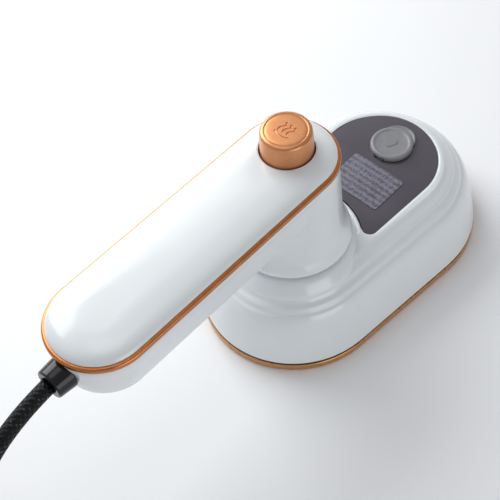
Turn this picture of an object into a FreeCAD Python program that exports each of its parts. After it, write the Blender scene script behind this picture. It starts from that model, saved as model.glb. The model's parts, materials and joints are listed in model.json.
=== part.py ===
import FreeCAD, Part
import math
import os

from FreeCAD import Vector

# Compact handheld steamer: a flat ironing head with a water tank, and a handle that
# swivels over it on one upright axis. Millimetres. The origin is where the swivel axis
# meets the ironing face, +Z is up, +X runs from the swivel to the tank, and the
# unfolded handle points to -X.

# Head plan: the hull of two circles, the front one on the swivel axis
HEAD_FRONT_R = 42.8
HEAD_REAR_R = 47.4
HEAD_REAR_X = 59.7

# Levels of the head
SOLE_TOP = 4.2
SHELL_BOTTOM = 5.6
CASTING_TOP = 13.2
GASKET_TOP = 14.0
COVER_TOP = 15.6
FRAME_BOTTOM = 17.6
FRAME_TOP = 19.2
FRAME_SCREW_SEAT = 17.5
TANK_SHOULDER = 29.0
TANK_TOP = 39.2
LEDGE_Z = 39.8
LIP_Z = 41.9
WINDOW_CROWN = 42.8
COLLAR_Z = 45.3
NECK_TOP = 46.6

# Window plan: the hull of two circles, less a round bay about the swivel
WINDOW_FRONT_R = 24.9
WINDOW_REAR_R = 27.3
WINDOW_REAR_X = 60.8
BAY_R = 31.2
CORNER_R = 3.5
WINDOW_CURVE_R = 312.0

# Filler stopper
STOPPER_X = 70.3
STOPPER_R = 10.0
PLUG_HOLE_R = 8.3
PLUG_R = 7.2
STOPPER_BOTTOM = 43.05
STOPPER_TOP = 45.4
PIN_X = 60.8
PIN_Z = 43.5
PIN_R = 0.4
LUG_R = 0.75
LUG_INNER = 1.6
LUG_OUTER = 2.6

# Heater and steam chamber insets from the head plan
CASTING_INSET = 5.5
HEATER_INSET = 15.0
HEATER_Z = 8.5
HEATER_R = 3.2
CHAMBER_INSET = 24.0
COVER_INSET = 18.5

# Handle plan: a slot shape whose front arc is on the swivel axis
HANDLE_R = 22.0
HANDLE_LENGTH = 104.4
HANDLE_FLOOR = 73.6
HANDLE_INNER_FLOOR = 75.6
HANDLE_SCREW_SEAT = 77.2
SPLIT_LOW = 94.3
SPLIT_HIGH = 97.3
HANDLE_CROWN = 102.3
COLUMN_BOTTOM = 47.5
COLUMN_FLOOR = 50.5

# Button and pump on the swivel axis
BUTTON_BASE_R = 11.36
BUTTON_TOP_R = 10.75
BUTTON_TOP = 112.9
BUTTON_WEB = 96.5
BEZEL_R = 12.2
BEZEL_TOP = 102.2
ROD_R = 2.5
ROD_TIP = 32.6
GUIDE_TOP = 84.0
PLUNGER_TOP = 32.5
PLUNGER_HEAD = 30.5
PUMP_SEAT = 22.0

# Swivel bearing
SPINDLE_R = 10.25
SPINDLE_BORE = 8.0
BUSH_R = 12.5
SPINDLE_BOTTOM = 35.6
SPINDLE_TOP = 53.0

# Leads, terminals and fasteners
LEAD_R = 0.9
LEAD_X = -5.0
LEAD_Y = 2.6
LEAD_BREAK = 35.4
TERMINAL_TOP = 23.3

# Power cord
CORD_R = 3.35
GLAND_X = -132.5
GLAND_Z = 86.0
GLAND_FLANGE_X = -124.1
COIL_X = -235.0
COIL_Y = 0.0
COIL_R = 38.5
COIL_HALF = 10.95
CORD_LENGTH = 1500.0
PLUG_X = -210.0
PLUG_Y = 35.5
PLUG_HALF_H = 9.0

os.makedirs("parts", exist_ok=True)


# ---------------------------------------------------------------- helpers


def save(name, *solids):
    shape = solids[0] if len(solids) == 1 else Part.makeCompound(list(solids))
    for solid in shape.Solids:
        assert solid.isValid(), name
    shape.exportStep("parts/" + name + ".step")
    print(name, len(shape.Solids), "solids", round(shape.Volume), "mm3")


def cyl(radius, bottom, top, x=0.0, y=0.0):
    return Part.makeCylinder(radius, top - bottom, Vector(x, y, bottom))


def tube(outer, inner, bottom, top, x=0.0, y=0.0):
    return cyl(outer, bottom, top, x, y).cut(cyl(inner, bottom - 1, top + 1, x, y))


def bar(start, end, radius):
    """A round bar from one point to another."""
    start, end = Vector(*start), Vector(*end)
    return Part.makeCylinder(radius, (end - start).Length, start, end - start)


def box(x0, x1, y0, y1, z0, z1):
    return Part.makeBox(x1 - x0, y1 - y0, z1 - z0, Vector(x0, y0, z0))


def join(first, *others):
    return first.fuse(list(others)).removeSplitter()


def turned(points, x=0.0):
    """A solid of revolution about the upright axis through x, from (radius, z) points."""
    corners = [Vector(x + r, 0, z) for r, z in points]
    face = Part.Face(Part.makePolygon(corners + corners[:1]))
    return face.revolve(Vector(x, 0, 0), Vector(0, 0, 1), 360)


def oval_wire(xa, ra, xb, rb, z):
    """The outline of the hull of two circles on the X axis."""
    lean = math.asin((rb - ra) / (xb - xa))
    side = Vector(-math.sin(lean), math.cos(lean), 0)
    down = Vector(side.x, -side.y, 0)
    a, b = Vector(xa, 0, z), Vector(xb, 0, z)
    front = Part.Arc(a + side * ra, Vector(xa - ra, 0, z), a + down * ra)
    rear = Part.Arc(b + down * rb, Vector(xb + rb, 0, z), b + side * rb)
    low = Part.LineSegment(a + down * ra, b + down * rb)
    high = Part.LineSegment(b + side * rb, a + side * ra)
    return Part.Wire([e.toShape() for e in (front, low, rear, high)])


def oval(xa, ra, xb, rb, bottom, top):
    face = Part.Face(oval_wire(xa, ra, xb, rb, bottom))
    return face.extrude(Vector(0, 0, top - bottom))


def head_oval(inset, bottom, top):
    return oval(0, HEAD_FRONT_R - inset, HEAD_REAR_X, HEAD_REAR_R - inset, bottom, top)


def swept_oval(edges_at, xa, ra, xb, rb):
    """A profile carried round the hull of two circles: two turned ends and two straight sides.

    edges_at(origin, outward) gives the profile's edges where outward points away from the hull.
    """
    lean = math.asin((rb - ra) / (xb - xa))
    straight = (xb - xa) * math.cos(lean)
    up = Vector(0, 0, 1)
    solids = []
    for hand in (1, -1):
        side = Vector(-math.sin(lean), hand * math.cos(lean), 0)
        along = Vector(math.cos(lean), hand * math.sin(lean), 0)
        start = Vector(xa, 0, 0)
        flat = Part.Face(Part.Wire(edges_at(start + side * ra, side)))
        solids.append(flat.extrude(along * straight))
        for centre, radius, turn in ((start, ra, 90 - math.degrees(lean)),
                                     (Vector(xb, 0, 0), rb, -90 - math.degrees(lean))):
            face = Part.Face(Part.Wire(edges_at(centre + side * radius, side)))
            solids.append(face.revolve(centre, up, hand * turn))
    whole = solids[0].fuse(solids[1:])
    return whole.removeSplitter()


def profile(*stretches):
    """Edges of a closed profile. Each stretch is a list of (inset, z) points: two make a
    line, more make one smooth curve."""

    def edges_at(origin, outward):
        edges = []
        for points in stretches:
            places = [origin - outward * inset + Vector(0, 0, z) for inset, z in points]
            if len(places) == 2:
                edges.append(Part.makeLine(*places))
            else:
                curve = Part.BSplineCurve()
                curve.interpolate(places)
                edges.append(curve.toShape())
        return edges

    return edges_at


def lines(*points):
    """Stretches that join the points with straight lines."""
    return [[points[i], points[i + 1]] for i in range(len(points) - 1)]


def rounded_path(points, radius=None):
    """Straight runs joined by tangent arcs. With no radius given, each arc takes 0.45 of
    its shorter run. Returns the wire and the arc radii."""
    points = [Vector(*p) for p in points]
    edges, radii, last = [], [], points[0]
    for before, here, after in zip(points, points[1:], points[2:]):
        back, ahead = before - here, after - here
        half_turn = (math.pi - back.getAngle(ahead)) / 2
        reach = 0.45 * min(back.Length, ahead.Length)
        if radius:
            reach = min(reach, radius * math.tan(half_turn))
        radii.append(reach / math.tan(half_turn))
        back.normalize()
        ahead.normalize()
        start, end = here + back * reach, here + ahead * reach
        centre = here + (back + ahead).normalize() * (radii[-1] / math.cos(half_turn))
        middle = centre + (here - centre).normalize() * radii[-1]
        edges.append(Part.LineSegment(last, start).toShape())
        edges.append(Part.Arc(start, middle, end).toShape())
        last = end
    edges.append(Part.LineSegment(last, points[-1]).toShape())
    return Part.Wire(edges), radii


def pipe(points, radius, bend=None):
    """A round solid along a rounded path."""
    path, radii = rounded_path(points, bend)
    ahead = Vector(*points[1]) - Vector(*points[0])
    section = Part.Wire(Part.makeCircle(radius, Vector(*points[0]), ahead))
    return path.makePipeShell([section], True, False), path, radii


def screw(x, y, seat, tip, shank_r=1.2, head_r=2.4, head_h=1.6, cross_h=0.8):
    """A pan-head screw with its head above the seat, pointing down."""
    head = cyl(head_r, seat, seat + head_h, x, y)
    slot = 0.35 * shank_r
    for across, along in ((head_r * 0.6, slot), (slot, head_r * 0.6)):
        head = head.cut(box(x - across, x + across, y - along, y + along,
                            seat + head_h - cross_h, seat + head_h + 1))
    return join(cyl(shank_r, tip, seat, x, y), head)


def spring(mean_r, wire_r, bottom, top, turns, steps=20, sides=8):
    """A coil spring between two flat seats, as short straight facets closed at both ends."""
    count = round(turns * steps)
    lift = (top - bottom - 2 * wire_r) / count
    rings = []
    for k in range(count + 1):
        angle = 2 * math.pi * k / steps
        outward = Vector(math.cos(angle), math.sin(angle), 0)
        centre = outward * mean_r + Vector(0, 0, bottom + wire_r + lift * k)
        turns_round = [2 * math.pi * i / sides for i in range(sides)]
        rings.append([centre + outward * (wire_r * math.cos(t))
                      + Vector(0, 0, wire_r * math.sin(t)) for t in turns_round])

    def facet(*corners):
        return Part.Face(Part.makePolygon(list(corners) + [corners[0]]))

    faces = [facet(*rings[0]), facet(*rings[-1])]
    for low, high in zip(rings, rings[1:]):
        for i in range(sides):
            j = (i + 1) % sides
            faces.append(facet(low[i], low[j], high[j]))
            faces.append(facet(low[i], high[j], high[i]))
    return Part.Solid(Part.makeShell(faces))


# ---------------------------------------------------------------- ironing base


def steam_holes():
    """Centres of the steam holes: rows that follow the chamber, clear of the origin."""
    places = []
    for count, reach in ((10, 14.5), (6, 8.0)):
        for k in range(count):
            angle = math.pi / 2 + math.pi * (k + 0.5) / count
            places.append((reach * math.cos(angle), reach * math.sin(angle)))
    for x in (9.0, 18.0, 27.0, 36.0, 45.0, 54.0, 63.0, 72.0):
        for y in (-14.0, -7.0, 7.0, 14.0):
            places.append((x, y))
    return places


def soleplate():
    plate = head_oval(0, 0, SOLE_TOP)
    low = [e for e in plate.Edges if e.BoundBox.ZMax < 0.01]
    high = [e for e in plate.Edges if e.BoundBox.ZMin > SOLE_TOP - 0.01]
    plate = plate.makeFillet(1.4, low).makeFillet(0.8, high)
    groove = swept_oval(profile(*lines((9, -1), (9, 0.5), (10.6, 0.5), (10.6, -1), (9, -1))),
                        0, HEAD_FRONT_R, HEAD_REAR_X, HEAD_REAR_R)
    holes = [cyl(1.1, -1, SOLE_TOP + 1, x, y) for x, y in steam_holes()]
    save("soleplate", plate.cut([groove] + holes))


def heat_shield():
    ring = swept_oval(profile(*lines((0.4, SOLE_TOP), (0.4, SHELL_BOTTOM), (5.2, SHELL_BOTTOM),
                                     (5.2, SOLE_TOP), (0.4, SOLE_TOP))),
                      0, HEAD_FRONT_R, HEAD_REAR_X, HEAD_REAR_R)
    save("heat_shield_ring", ring)


def heater_path():
    """The heater's U: round the rear, open at the front."""
    lean = math.asin((HEAD_REAR_R - HEAD_FRONT_R) / HEAD_REAR_X)
    side = Vector(-math.sin(lean), math.cos(lean), 0)
    down = Vector(side.x, -side.y, 0)
    front_r, rear_r = HEAD_FRONT_R - HEATER_INSET, HEAD_REAR_R - HEATER_INSET
    front, rear = Vector(0, 0, HEATER_Z), Vector(HEAD_REAR_X, 0, HEATER_Z)
    far = rear + Vector(rear_r, 0, 0)
    return [
        Part.LineSegment(front + down * front_r, rear + down * rear_r).toShape(),
        Part.Arc(rear + down * rear_r, far, rear + side * rear_r).toShape(),
        Part.LineSegment(rear + side * rear_r, front + side * front_r).toShape(),
    ], [front + side * front_r, front + down * front_r]


def frame_screw_places():
    front = (HEAD_FRONT_R - 9) * math.sqrt(0.5)
    rear = (HEAD_REAR_R - 9) * math.sqrt(0.5)
    return [(-front, front), (-front, -front),
            (HEAD_REAR_X + rear, rear), (HEAD_REAR_X + rear, -rear)]


def cover_screw_places():
    front, rear = HEAD_FRONT_R - 21.2, HEAD_REAR_R - 21.2
    return [(-0.75 * front, 0.66 * front), (-0.75 * front, -0.66 * front),
            (25, front + 1.6), (25, -front - 1.6), (HEAD_REAR_X + rear, 0)]


def steam_generator():
    edges, ends = heater_path()
    start = edges[0].valueAt(edges[0].FirstParameter)
    section = Part.Wire(Part.makeCircle(HEATER_R, start, edges[0].tangentAt(0)))
    heater = Part.Wire(edges).makePipeShell([section], True, False)
    save("heating_element", heater)

    pins = [cyl(1.6, HEATER_Z, TERMINAL_TOP, p.x + 3, p.y).cut(heater) for p in ends]
    beads = [tube(3.0, 1.6, CASTING_TOP, FRAME_BOTTOM, p.x + 3, p.y) for p in ends]
    save("heater_terminals", *pins)
    save("terminal_beads", *beads)

    casting = head_oval(CASTING_INSET, SOLE_TOP, CASTING_TOP)
    chamber = head_oval(CHAMBER_INSET, 6.2, CASTING_TOP + 1)
    for k, x in enumerate((12.0, 30.0, 48.0)):
        shift = 4.0 if k % 2 else -4.0
        chamber = chamber.cut(box(x - 1, x + 1, shift - 17, shift + 17, 6.2, CASTING_TOP))
    holes = [cyl(1.1, SOLE_TOP - 1, 7, x, y) for x, y in steam_holes()]
    holes += [cyl(1.6, HEATER_Z, CASTING_TOP + 1, p.x + 3, p.y) for p in ends]
    holes += [cyl(1.2, 7.2, CASTING_TOP + 1, x, y) for x, y in frame_screw_places()]
    holes += [cyl(1.1, 8.2, CASTING_TOP + 1, x, y) for x, y in cover_screw_places()]
    save("steam_chamber", casting.cut([chamber, heater] + holes))

    screw_holes = [cyl(1.1, 0, 40, x, y) for x, y in cover_screw_places()]
    gasket = head_oval(COVER_INSET, CASTING_TOP, GASKET_TOP)
    gasket = gasket.cut([head_oval(CHAMBER_INSET, 0, 40)] + screw_holes)
    save("chamber_gasket", gasket)
    cover = head_oval(COVER_INSET, GASKET_TOP, COVER_TOP)
    save("chamber_cover", cover.cut([cyl(1.3, 0, 40)] + screw_holes))
    save("cover_screws", *[screw(x, y, COVER_TOP, 8.2, 1.1, 2.1, 1.3)
                           for x, y in cover_screw_places()])


def thermal_controls():
    body = join(cyl(8.0, COVER_TOP, 20.6, -20.5), cyl(6.2, 20.6, 21.6, -20.5))
    tabs = [box(x - 2.2, x + 2.2, -0.4, 0.4, 21.6, 25.0) for x in (-24.5, -16.5)]
    cup = cyl(8.0, COVER_TOP, 18.0, -20.5)
    save("thermostat", body.cut(cup).fuse(tabs).removeSplitter())
    save("thermostat_cup", cup.cut(cyl(2.0, COVER_TOP - 1, COVER_TOP + 0.8, -20.5)))

    ends = heater_path()[1]
    start = Vector(-24.5, -0.9, 24.0)
    end = Vector(ends[1].x + 3, ends[1].y, 24.0)
    along = (end - start).normalize()
    middle = (start + end) * 0.5
    wire = bar(tuple(start), tuple(end), 0.5)
    body = bar(tuple(middle - along * 6), tuple(middle + along * 6), 2.0)
    save("thermal_fuse", join(body, wire))


# ---------------------------------------------------------------- frame and pump


def inner_frame():
    plate = head_oval(7.5, FRAME_BOTTOM, FRAME_TOP)
    posts = [cyl(3.4, CASTING_TOP, FRAME_BOTTOM, x, y) for x, y in frame_screw_places()]
    frame = join(plate, *posts)
    cuts = [cyl(9.0, 0, 40, -20.5), cyl(3.0, 0, 40)]
    cuts += [cyl(3.6, FRAME_BOTTOM - 1, 40, p.x + 3, p.y) for p in heater_path()[1]]
    cuts += [cyl(1.2, 0, 40, x, y) for x, y in frame_screw_places()]
    cuts += [cyl(2.5, FRAME_SCREW_SEAT, 40, x, y) for x, y in frame_screw_places()]
    cuts += [cyl(1.2, 0, 40, x, y) for x, y in shell_screw_places()]
    save("inner_frame", frame.cut(cuts))
    save("frame_screws", *[screw(x, y, FRAME_SCREW_SEAT, 7.2)
                           for x, y in frame_screw_places()])


def pump():
    boss = box(8.2, 11.0, -3.0, 3.0, FRAME_TOP, 23.0)
    body = join(cyl(10.0, FRAME_TOP, PUMP_SEAT), cyl(5.4, PUMP_SEAT, 26.4), boss,
                bar((10, 0, 21.0), (13.5, 0, 21.0), 1.0))
    body = body.cut([cyl(3.6, 20.0, 40), cyl(1.3, 0, 40), bar((0, 0, 21.0), (20, 0, 21.0), 0.5)])
    save("pump_body", body)
    valve = turned([(0, 19.4), (1.3, 19.4), (1.3, 20.0), (3.4, 20.0), (3.4, 20.3), (0, 20.3)])
    save("pump_valve", valve)
    save("pump_spring", spring(6.8, 0.5, PUMP_SEAT, PLUNGER_HEAD, 3.5))
    stem = cyl(3.52, 24.4, PLUNGER_HEAD)
    for z in (25.0, 26.2):
        stem = stem.cut(tube(4.0, 3.2, z, z + 0.5))
    save("pump_plunger", join(stem, cyl(8.0, PLUNGER_HEAD, PLUNGER_TOP)))
    save("dosing_tube", tube(2.6, 1.3, COVER_TOP, FRAME_TOP))
    save("inlet_hose", bar((11.0, 0, 21.0), (23.3, 0, 21.0), 1.8)
         .cut(bar((10.0, 0, 21.0), (25, 0, 21.0), 1.0)))


# ---------------------------------------------------------------- head shell and tank


def window_prism(inset, bay, bottom, top, corner=CORNER_R):
    """The window's plan at an inset, with its bay and rounded corners."""
    plan = oval(0, WINDOW_FRONT_R - inset, WINDOW_REAR_X, WINDOW_REAR_R - inset, bottom, top)
    plan = plan.cut(cyl(bay, bottom - 1, top + 1)).common(box(0, 200, -100, 100, 0, 100))
    tall = [e for e in plan.Edges
            if e.BoundBox.DiagonalLength - (top - bottom) < 1e-4 and e.Vertexes[0].X < 30]
    return plan.makeFillet(corner, tall)


def shell_screw_places():
    reach = HEAD_REAR_R - 9
    rear_x, rear_y = HEAD_REAR_X + 0.5 * reach, 0.866 * reach
    return [(10.0, 34.5), (10.0, -34.5), (rear_x, rear_y), (rear_x, -rear_y)]


def head_shell():
    outer = [(0.0, SHELL_BOTTOM), (0.5, 9.5), (1.2, 14.0), (2.1, 19.0), (3.3, 24.2),
             (5.0, 29.2), (6.8, 32.0)]
    steps = [(6.8, 32.0), (8.2, 33.0), (9.0, 34.9), (11.4, 36.3), (12.4, 38.3), (15.0, 39.9),
             (16.2, 41.3), (17.6, LIP_Z), (25.0, LIP_Z), (25.0, 38.0)]
    inner = [(8.8, 30.4), (6.9, 27.8), (5.3, 24.0), (4.0, 18.5), (3.1, 13.8), (2.4, 9.5),
             (2.0, SHELL_BOTTOM)]
    back = [(25.0, 38.0), (17.6, 38.0), (13.6, 35.0), (8.8, 30.4)]
    wall = swept_oval(profile(outer, *lines(*steps), *lines(*back), inner,
                              *lines((2.0, SHELL_BOTTOM), (0.0, SHELL_BOTTOM))),
                      0, HEAD_FRONT_R, HEAD_REAR_X, HEAD_REAR_R)
    collar = turned([(BUSH_R, 38.2), (BUSH_R, NECK_TOP), (22.6, NECK_TOP), (22.6, 45.9),
                     (23.2, COLLAR_Z), (25.4, COLLAR_Z), (26.4, 44.8), (28.0, 42.9),
                     (29.6, 40.6), (30.6, 38.6), (31.0, 37.0), (26.0, 37.0), (22.6, 42.6),
                     (15.5, 42.6), (15.5, 38.2)])
    bay = turned([(24.0, 38.0), (24.0, LIP_Z), (BAY_R, LIP_Z), (BAY_R, LEDGE_Z),
                  (BAY_R + 1.6, LEDGE_Z), (BAY_R + 1.6, 38.0)])
    lip_plan = oval(0, WINDOW_FRONT_R + 0.8, WINDOW_REAR_X, WINDOW_REAR_R + 0.8, 30, 50)
    bay = bay.common(lip_plan).common(box(6, 60, -60, 60, 30, 50))
    shell = join(wall, collar, bay)
    shell = shell.cut([
        window_prism(-0.15, BAY_R, LEDGE_Z, 60),
        window_prism(1.6, BAY_R + 1.6, 30, 60, CORNER_R - 1),
    ])
    bosses = []
    for x, y in shell_screw_places():
        boss = cyl(3.2, FRAME_TOP, 28.5, x, y).cut(cyl(1.0, 0, 25, x, y))
        bosses.append(boss)
    shell = join(shell, *bosses)
    save("head_shell", shell)
    save("shell_screws", *[screw_up(x, y, FRAME_BOTTOM, 24.5) for x, y in shell_screw_places()])


def screw_up(x, y, seat, tip):
    """A pan-head screw with its head below the seat, pointing up."""
    fastener = screw(0, 0, 0, -(tip - seat), 1.0, 2.1, 1.2, 0.6)
    fastener.rotate(Vector(0, 0, 0), Vector(1, 0, 0), 180)
    fastener.translate(Vector(x, y, seat))
    return fastener


def tank_solid(shrink, bottom, shoulder, top):
    """The tank's envelope: a broad bottom and a neck under the window."""
    broad = head_oval(10.5 + shrink, bottom, shoulder).cut(cyl(24 + shrink, 0, 60))
    broad = broad.common(box(15 + shrink, 200, -100, 100, 0, 60))
    neck = window_prism(2.0 + shrink, BAY_R + 2.0 + shrink, shoulder - 2, top, CORNER_R - 1)
    return join(broad, neck)


def water_tank():
    outer = tank_solid(0, FRAME_TOP, TANK_SHOULDER, TANK_TOP)
    inner = tank_solid(1.5, FRAME_TOP + 1.4, TANK_SHOULDER - 1.5, TANK_TOP + 1)
    clear = [cyl(3.8, 0, 60, x, y) for x, y in shell_screw_places()]
    inner = inner.cut([cyl(5.2, 0, 60, x, y) for x, y in shell_screw_places()])
    tank = outer.cut([inner] + clear)
    spigot = bar((20.5, 0, 21.0), (26.0, 0, 21.0), 1.0)
    tank = join(tank, spigot.cut(inner)).cut(bar((20, 0, 21.0), (27, 0, 21.0), 0.5))
    save("water_tank", tank)
    rim = window_prism(2.0, BAY_R + 2.0, TANK_TOP, LEDGE_Z, CORNER_R - 1)
    save("tank_seal", rim.cut(window_prism(3.5, BAY_R + 3.5, 0, 60, CORNER_R - 2)))


def crown(height, x0=-50, x1=150):
    """A long cylinder whose top line is the window's crown at a height."""
    return Part.makeCylinder(WINDOW_CURVE_R, x1 - x0,
                             Vector(x0, 0, height - WINDOW_CURVE_R), Vector(1, 0, 0))


def tank_window():
    pane = window_prism(0.1, BAY_R + 0.25, LEDGE_Z, 50).common(crown(WINDOW_CROWN))
    neck = cyl(9.3, LEDGE_Z, STOPPER_BOTTOM - 0.1, STOPPER_X)
    lugs = []
    for hand in (-1, 1):
        y0, y1 = sorted((hand * LUG_INNER, hand * LUG_OUTER))
        post = box(PIN_X - LUG_R, PIN_X + LUG_R, y0, y1, LEDGE_Z, PIN_Z)
        eye = bar((PIN_X, y0, PIN_Z), (PIN_X, y1, PIN_Z), LUG_R)
        lugs.append(join(post, eye))
    hole = cyl(PLUG_HOLE_R, 0, 60, STOPPER_X)
    pin_hole = bar((PIN_X, -5, PIN_Z), (PIN_X, 5, PIN_Z), PIN_R)
    pane = join(pane, neck, *lugs).cut([hole, pin_hole])
    save("tank_window", pane)
    save("stopper_pin", bar((PIN_X, -LUG_OUTER, PIN_Z), (PIN_X, LUG_OUTER, PIN_Z), PIN_R))
    patch = box(35.6, 56.6, -18.1, 10.0, 40, 60).common(crown(WINDOW_CROWN + 0.3))
    tall = [e for e in patch.Edges if abs(e.tangentAt(e.FirstParameter).z) > 0.99]
    patch = patch.makeFillet(1.5, tall).cut(crown(WINDOW_CROWN))
    save("label_patch", patch)


def filler_stopper():
    disc = cyl(STOPPER_R, STOPPER_BOTTOM, STOPPER_TOP, STOPPER_X)
    disc = disc.makeFillet(0.9, [e for e in disc.Edges if e.BoundBox.ZMin > STOPPER_TOP - 0.01])
    tab = cyl(8.4, STOPPER_BOTTOM + 0.3, STOPPER_TOP - 1.1, STOPPER_X + 4.3)
    disc = join(disc, tab)
    dish = cyl(8.0, STOPPER_TOP - 0.45, STOPPER_TOP + 1, STOPPER_X)
    plug = turned([(0, 39.0), (PLUG_R - 0.8, 39.0), (PLUG_R, 40.0), (PLUG_R, STOPPER_BOTTOM),
                   (0, STOPPER_BOTTOM)], STOPPER_X)
    core = cyl(5.2, 38, 42.0, STOPPER_X)
    notches = []
    for hand in (-1, 1):
        y0, y1 = sorted((hand * (LUG_INNER - 0.25), hand * (LUG_OUTER + 0.25)))
        notches.append(box(STOPPER_X - STOPPER_R - 1, PIN_X + 1.2, y0, y1, 40, PIN_Z + 1.0))
    bore = bar((PIN_X, -LUG_OUTER, PIN_Z), (PIN_X, LUG_OUTER, PIN_Z), PIN_R + 0.05)
    low = box(STOPPER_X - STOPPER_R - 1, PIN_X, -12, 12, STOPPER_BOTTOM - 1, PIN_Z)
    save("filler_stopper", join(disc, plug).cut([dish, core, bore, low] + notches))


# ---------------------------------------------------------------- swivel


def swivel():
    save("swivel_bush", tube(BUSH_R, SPINDLE_R + 0.05, 38.2, NECK_TOP))
    save("swivel_washer", tube(21.0, 13.2, NECK_TOP, NECK_TOP + 0.6))
    spindle = turned([(SPINDLE_BORE, SPINDLE_BOTTOM), (SPINDLE_R, SPINDLE_BOTTOM),
                      (SPINDLE_R, 36.4), (9.4, 36.4), (9.4, 37.4), (SPINDLE_R, 37.4),
                      (SPINDLE_R, COLUMN_FLOOR), (17.0, COLUMN_FLOOR), (17.0, SPINDLE_TOP),
                      (SPINDLE_BORE, SPINDLE_TOP)])
    places = [(14.0 * math.cos(a), 14.0 * math.sin(a))
              for a in (0, 2 * math.pi / 3, 4 * math.pi / 3)]
    spindle = spindle.cut([cyl(1.2, 40, 60, x, y) for x, y in places])
    save("swivel_spindle", spindle)
    save("spindle_screws", *[screw(x, y, SPINDLE_TOP, COLUMN_BOTTOM + 0.7) for x, y in places])
    clip = tube(12.6, 9.4, 36.4, 37.4).cut(box(0, 20, -3.5, 3.5, 30, 40))
    save("retaining_ring", clip)
    return places


# ---------------------------------------------------------------- handle


def handle_profile(*stretches):
    return swept_oval(profile(*stretches), -HANDLE_LENGTH, HANDLE_R, 0, HANDLE_R)


def handle_post_places():
    return [(-88.0, 11.5), (-88.0, -11.5), (-36.0, 11.5), (-36.0, -11.5)]


def lower_shell(spindle_places):
    outer = handle_profile(
        [(0.8, SPLIT_LOW), (1.5, 88.0), (3.1, 76.3)],
        *lines((3.1, 76.3), (4.5, 74.7), (8.0, HANDLE_FLOOR), (HANDLE_R, HANDLE_FLOOR)),
        *lines((HANDLE_R, HANDLE_FLOOR), (HANDLE_R, SPLIT_LOW), (0.8, SPLIT_LOW)))
    inner = handle_profile(
        *lines((2.8, SPLIT_LOW + 1), (2.8, SPLIT_LOW), (3.6, 88.0), (5.2, 77.0),
               (8.4, HANDLE_INNER_FLOOR), (HANDLE_R, HANDLE_INNER_FLOOR),
               (HANDLE_R, SPLIT_LOW + 1), (2.8, SPLIT_LOW + 1)))
    column = turned([(0, COLUMN_BOTTOM), (24.8, COLUMN_BOTTOM), (26.2, 48.1), (26.7, 49.3),
                     (26.5, 50.6), (25.7, 52.4), (24.5, 54.6), (23.4, 58.0), (22.8, 63.0),
                     (22.3, 70.0), (21.9, 80.0), (21.2, SPLIT_LOW), (0, SPLIT_LOW)])
    hollow = turned([(0, COLUMN_FLOOR), (23.0, COLUMN_FLOOR), (21.4, 57.0), (20.8, 63.0),
                     (20.3, 70.0), (19.8, 80.0), (19.2, SPLIT_LOW + 1), (0, SPLIT_LOW + 1)])
    body = join(outer, column).cut([inner, hollow])
    shelf = tube(20.6, 15.5, 80.0, 82.0).common(join(inner, hollow))
    post_bottom = HANDLE_INNER_FLOOR - 1
    posts = [cyl(3.2, post_bottom, SPLIT_LOW, x, y) for x, y in handle_post_places()]
    block_posts = [cyl(2.4, post_bottom, 79.0, -101, y) for y in (-5.5, 5.5)]
    block_posts += [cyl(2.6, post_bottom, 80.5, -115.5, y) for y in (-7.5, 7.5)]
    body = join(body, shelf, *posts, *block_posts)
    cuts = [cyl(1.3, 70, 100, x, y) for x, y in handle_post_places()]
    cuts += [cyl(2.8, 70, HANDLE_SCREW_SEAT, x, y) for x, y in handle_post_places()]
    cuts += [cyl(1.0, 74.5, 90, -115.5, y) for y in (-7.5, 7.5)]
    cuts += [cyl(1.2, COLUMN_BOTTOM + 0.7, COLUMN_FLOOR + 0.1, x, y) for x, y in spindle_places]
    cuts += [cyl(SPINDLE_R, 45, COLUMN_FLOOR + 0.1),
             bar((-140, 0, GLAND_Z), (-115, 0, GLAND_Z), 5.2),
             bar((-140, 0, GLAND_Z), (GLAND_FLANGE_X, 0, GLAND_Z), 7.2)]
    save("handle_lower_shell", body.cut(cuts))


def handle_trim():
    ring = handle_profile(
        [(0.8, SPLIT_LOW), (0.15, 94.9), (0.0, 95.8), (0.15, 96.7), (0.8, SPLIT_HIGH)],
        *lines((0.8, SPLIT_HIGH), (3.4, SPLIT_HIGH), (3.4, SPLIT_LOW), (0.8, SPLIT_LOW)))
    save("handle_trim", ring)


def top_cover():
    outer = handle_profile(
        [(1.5, SPLIT_HIGH), (2.0, 98.7), (3.6, 100.1), (7.5, 101.4), (13.0, 102.1),
         (HANDLE_R, HANDLE_CROWN)],
        *lines((HANDLE_R, HANDLE_CROWN), (HANDLE_R, SPLIT_HIGH), (1.5, SPLIT_HIGH)))
    inner = handle_profile(
        *lines((3.6, SPLIT_HIGH - 1), (3.6, SPLIT_HIGH), (4.0, 98.0), (8.0, 99.4), (13.5, 100.1),
               (HANDLE_R, 100.3), (HANDLE_R, SPLIT_HIGH - 1), (3.6, SPLIT_HIGH - 1)))
    bosses = [cyl(3.2, SPLIT_LOW, 99.6, x, y) for x, y in handle_post_places()]
    rim = handle_profile(*lines((3.6, SPLIT_LOW), (3.6, 98.6), (5.2, 98.6), (5.2, SPLIT_LOW),
                                (3.6, SPLIT_LOW)))
    cover = join(outer.cut(inner), rim, *bosses)
    cuts = [cyl(1.1, 90, 98.4, x, y) for x, y in handle_post_places()]
    cuts.append(cyl(BEZEL_R, 90, 110))
    save("handle_top_cover", cover.cut(cuts))
    save("handle_screws", *[screw_up(x, y, HANDLE_SCREW_SEAT, 96.5)
                            for x, y in handle_post_places()])


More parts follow.
